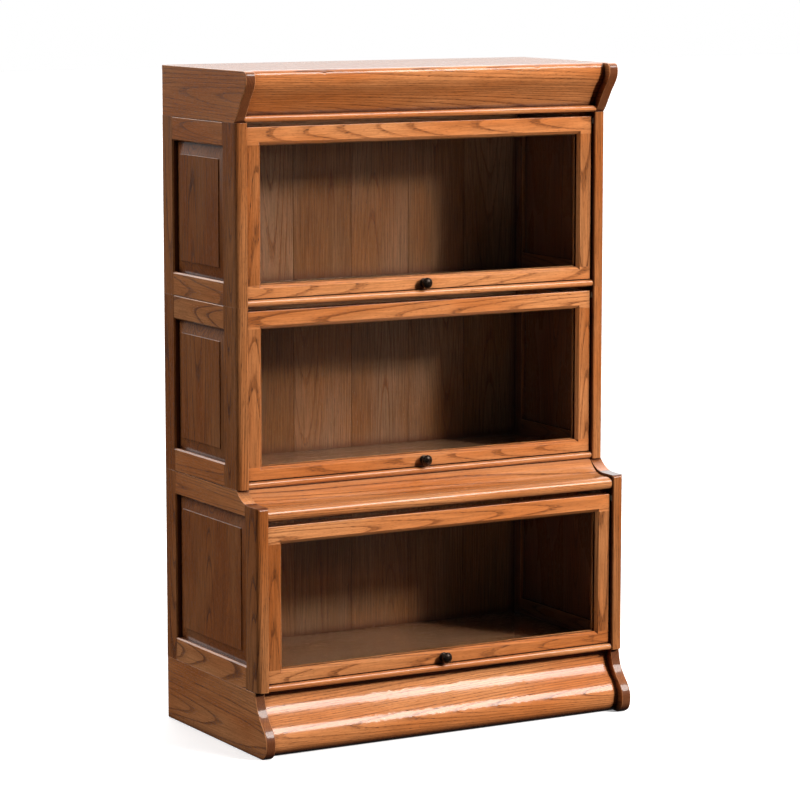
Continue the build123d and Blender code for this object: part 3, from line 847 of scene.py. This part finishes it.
class BOOKCASE_OT_doors(bpy.types.Operator):
    """Finish the doors: stiles, rails, panes, glazing beads and their brads."""
    bl_idname = "bookcase.doors"
    bl_label = "Doors"

    def execute(self, context):
        sizes = context.scene.case_joinery
        for number, case in enumerate(CASES):
            stiles, rails = f"{case}_door_stiles", f"{case}_door_rails"
            oak_piece(context, stiles, sizes.frame_edge, lines=front_lines(stiles))
            oak_piece(context, rails, sizes.frame_edge, lines=front_lines(rails, sides=False))
            beads = f"{case}_door_glazing_beads"
            oak_piece(context, beads, sizes.frame_edge, solids=4)
            pane = carry_over(context, f"{case}_door_glass", "glass")
            pane.visible_shadow = False
            low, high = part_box(beads)
            inset = 0.009
            brads = grown(context, f"{case}_door_brads", brad_ring, {
                "Width": high.x - low.x - inset, "Height": high.z - low.z - inset,
                "Centre": Vector(((low.x + high.x) / 2, high.y, (low.z + high.z) / 2)),
                "Spacing": sizes.brad_spacing, "Radius": sizes.brad_head,
                "Crown": 0.5 * sizes.brad_head, "Rise": 0.0005, "Seed": number,
                "Material": finish_of(context, "steel")})
            settle(context, f"{case}_door_brads", brads, "steel", f"{case}_door")
        return {"FINISHED"}


class BOOKCASE_OT_knobs(bpy.types.Operator):
    """Turn the three knobs, each with its rose and the screw behind it."""
    bl_idname = "bookcase.knobs"
    bl_label = "Knobs"

    def execute(self, context):
        for case in CASES:
            node = f"{case}_door_knob"
            low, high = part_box(node)
            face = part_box(f"{case}_door_rails")[0].y
            reach = face - low.y
            radius = (high.x - low.x) / 2
            middle = Vector(((low.x + high.x) / 2, face, (low.z + high.z) / 2))
            shape = ((0.0, 0.0), (0.82, 0.0), (0.83, 0.035), (0.78, 0.07), (0.72, 0.08),
                     (0.7, 0.11), (0.62, 0.135), (0.47, 0.155), (0.4, 0.2), (0.385, 0.27),
                     (0.4, 0.34), (0.46, 0.4), (0.6, 0.46), (0.8, 0.52), (0.93, 0.57),
                     (0.985, 0.62), (1.0, 0.67), (0.985, 0.72), (0.94, 0.77), (0.87, 0.81),
                     (0.85, 0.825), (0.8, 0.85), (0.66, 0.91), (0.48, 0.96), (0.25, 0.99),
                     (0.0, 1.0))
            knob = turned([(radius * wide, reach * far) for wide, far in shape], 48, middle,
                          f"{node}_turned")
            settle(context, f"{node}_turned", knob, "bronze", f"{case}_door", (node,))
            head = 0.004
            thick = 0.002
            shape = ((0.0, thick), (head, thick), (head, 0.0004), (head - 0.0004, 0.0),
                     (0.0019, 0.0), (0.0017, 0.0002), (0.0012, 0.0012), (0.0, 0.0015))
            behind = Vector((middle.x, high.y, middle.z))
            screw = turned(shape, 24, behind, f"{case}_knob_screw")
            settle(context, f"{case}_knob_screw", screw, "bronze", f"{case}_door")
        return {"FINISHED"}


class BOOKCASE_OT_hardware(bpy.types.Operator):
    """Finish the runners, slide shoes, pivot pins and dowels."""
    bl_idname = "bookcase.hardware"
    bl_label = "Runners and dowels"

    def execute(self, context):
        for case in CASES:
            carry_over(context, f"{case}_case_runners", "steel")
            carry_over(context, f"{case}_door_pivot_pins", "steel")
            carry_over(context, f"{case}_door_slide_shoes", "nylon")
        carry_over(context, "stacking_dowels", "beech")
        return {"FINISHED"}


def aimed(holder, place, target):
    """Stand an object at a place and point it at a target."""
    holder.location = place
    holder.rotation_euler = (target - place).to_track_quat("-Z", "Y").to_euler()


class BOOKCASE_OT_stage(bpy.types.Operator):
    """Set up the floor, the soft light, the white surround and the camera."""
    bl_idname = "bookcase.stage"
    bl_label = "Studio"

    def execute(self, context):
        studio = context.scene.case_studio
        self.floor(context, studio)
        self.surround(context, studio)
        self.soft_light(context, studio)
        self.camera(context, studio)
        context.scene.view_settings.view_transform = "Standard"
        return {"FINISHED"}

    def floor(self, context, studio):
        """A wide pale floor, faintly mottled, that casts no veil on the panes."""
        work = bmesh.new()
        bmesh.ops.create_grid(work, x_segments=12, y_segments=12, size=30.0)
        mesh = bpy.data.meshes.new("studio_floor")
        work.to_mesh(mesh)
        work.free()
        mesh.transform(Matrix.Translation((0.0, 0.0, -0.0002)))
        made, tree, shader = surface("pale_floor", Roughness=0.75)
        place = put(tree, "ShaderNodeTexCoord").outputs["Object"]
        dim = tuple(0.985 * channel for channel in studio.floor)
        mottled = mixed(tree, noise(tree, place, (1.5, 1.5, 1.5), 3.0), studio.floor, dim)
        mirrored = put(tree, "ShaderNodeLightPath").outputs["Glossy Depth"]
        kept = maths(tree, "LESS_THAN", mirrored, 0.5)
        tree.links.new(mixed(tree, kept, (0.0, 0.0, 0.0), mottled),
                       shader.inputs["Base Color"])
        tree.links.new(maths(tree, "MULTIPLY", kept, 0.3),
                       shader.inputs["Emission Strength"])
        mesh.materials.append(made)
        floor = bpy.data.objects.new("studio_floor", mesh)
        floor.visible_glossy = False
        floor.visible_diffuse = False
        context.scene.collection.objects.link(floor)

    def surround(self, context, studio):
        """White all round and above, falling away in front and below."""
        world = bpy.data.worlds.new("surround")
        world.use_nodes = True
        tree = world.node_tree
        tree.nodes.clear()
        facing = put(tree, "ShaderNodeTexCoord").outputs["Generated"]
        parts = put(tree, "ShaderNodeSeparateXYZ", {0: facing}).outputs
        level = between(tree, parts["Z"], -0.1, 0.4, 0.03, studio.sky)
        level = maths(tree, "MULTIPLY", level, between(tree, parts["Y"], -0.25, 0.3, 0.05, 1.0))
        behind = maths(tree, "ADD", maths(tree, "MULTIPLY", parts["X"], 0.5),
                       maths(tree, "MULTIPLY", parts["Y"], 0.86))
        wall = maths(tree, "MULTIPLY", between(tree, behind, 0.6, 0.95, 0.0, 0.15),
                     between(tree, parts["Z"], -0.03, 0.03))
        level = maths(tree, "ADD", level, wall)
        seen = put(tree, "ShaderNodeLightPath").outputs["Is Camera Ray"]
        level = put(tree, "ShaderNodeMix", {0: seen, 2: level, 3: 1.0}).outputs[0]
        back = put(tree, "ShaderNodeBackground", {"Color": (1.0, 1.0, 1.0, 1.0),
                                                  "Strength": level})
        out = tree.nodes.new("ShaderNodeOutputWorld")
        tree.links.new(back.outputs[0], out.inputs[0])
        context.scene.world = world

    def soft_light(self, context, studio):
        """A high, wide light to the right of the front, and a low one beside it."""
        high = bpy.data.lights.new("high_light", "SUN")
        high.energy = studio.key
        high.angle = math.radians(21.0)
        low = bpy.data.lights.new("low_light", "AREA")
        low.energy = studio.spill
        low.shape = "DISK"
        low.size = 0.65
        for lamp, away, turn, rise in ((high, 4.0, 39.0, 38.0), (low, 5.2, 32.5, 23.0)):
            lamp.color = (1.0, 0.965, 0.93)
            holder = bpy.data.objects.new(lamp.name, lamp)
            holder.visible_glossy = lamp is high
            context.scene.collection.objects.link(holder)
            turn, rise = math.radians(turn), math.radians(rise)
            towards = Vector((math.sin(turn) * math.cos(rise),
                              -math.cos(turn) * math.cos(rise), math.sin(rise)))
            aimed(holder, CENTRE + away * towards, CENTRE)

    def camera(self, context, studio):
        """The camera, to the left of the front and above the crown."""
        data = bpy.data.cameras.new("camera")
        data.sensor_width = 36.0
        data.lens = studio.lens
        holder = bpy.data.objects.new("camera", data)
        context.scene.collection.objects.link(holder)
        aimed(holder, Vector((-3.385, -5.9585, 1.633)), Vector((0.0, 0.0, 0.668)))
        context.scene.camera = holder


OPERATORS = (BOOKCASE_OT_base, BOOKCASE_OT_crown, BOOKCASE_OT_side_frames,
             BOOKCASE_OT_shelves, BOOKCASE_OT_backs, BOOKCASE_OT_doors, BOOKCASE_OT_knobs,
             BOOKCASE_OT_hardware, BOOKCASE_OT_stage)


class BOOKCASE_PT_finish(bpy.types.Panel):
    """Lists the bookcase's finishing steps and their sizes."""
    bl_idname = "BOOKCASE_PT_finish"
    bl_label = "Bookcase"
    bl_space_type = "VIEW_3D"
    bl_region_type = "UI"
    bl_category = "Bookcase"

    def draw(self, context):
        layout = self.layout
        for name in GROUPS:
            group = getattr(context.scene, name)
            box = layout.box()
            for key in group.__annotations__:
                box.prop(group, key)
        for operator in OPERATORS:
            layout.operator(operator.bl_idname)


CLASSES = (*GROUPS.values(), *OPERATORS, BOOKCASE_PT_finish)


def register():
    for made in CLASSES:
        bpy.utils.register_class(made)
    for name, group in GROUPS.items():
        setattr(bpy.types.Scene, name, PointerProperty(type=group))


def unregister():
    for name in GROUPS:
        delattr(bpy.types.Scene, name)
    for made in reversed(CLASSES):
        bpy.utils.unregister_class(made)


def main():
    """Finish every piece and set the stage."""
    register()
    for operator in OPERATORS:
        group, name = operator.bl_idname.split(".")
        getattr(getattr(bpy.ops, group), name)()


if __name__ == "__main__":
    main()
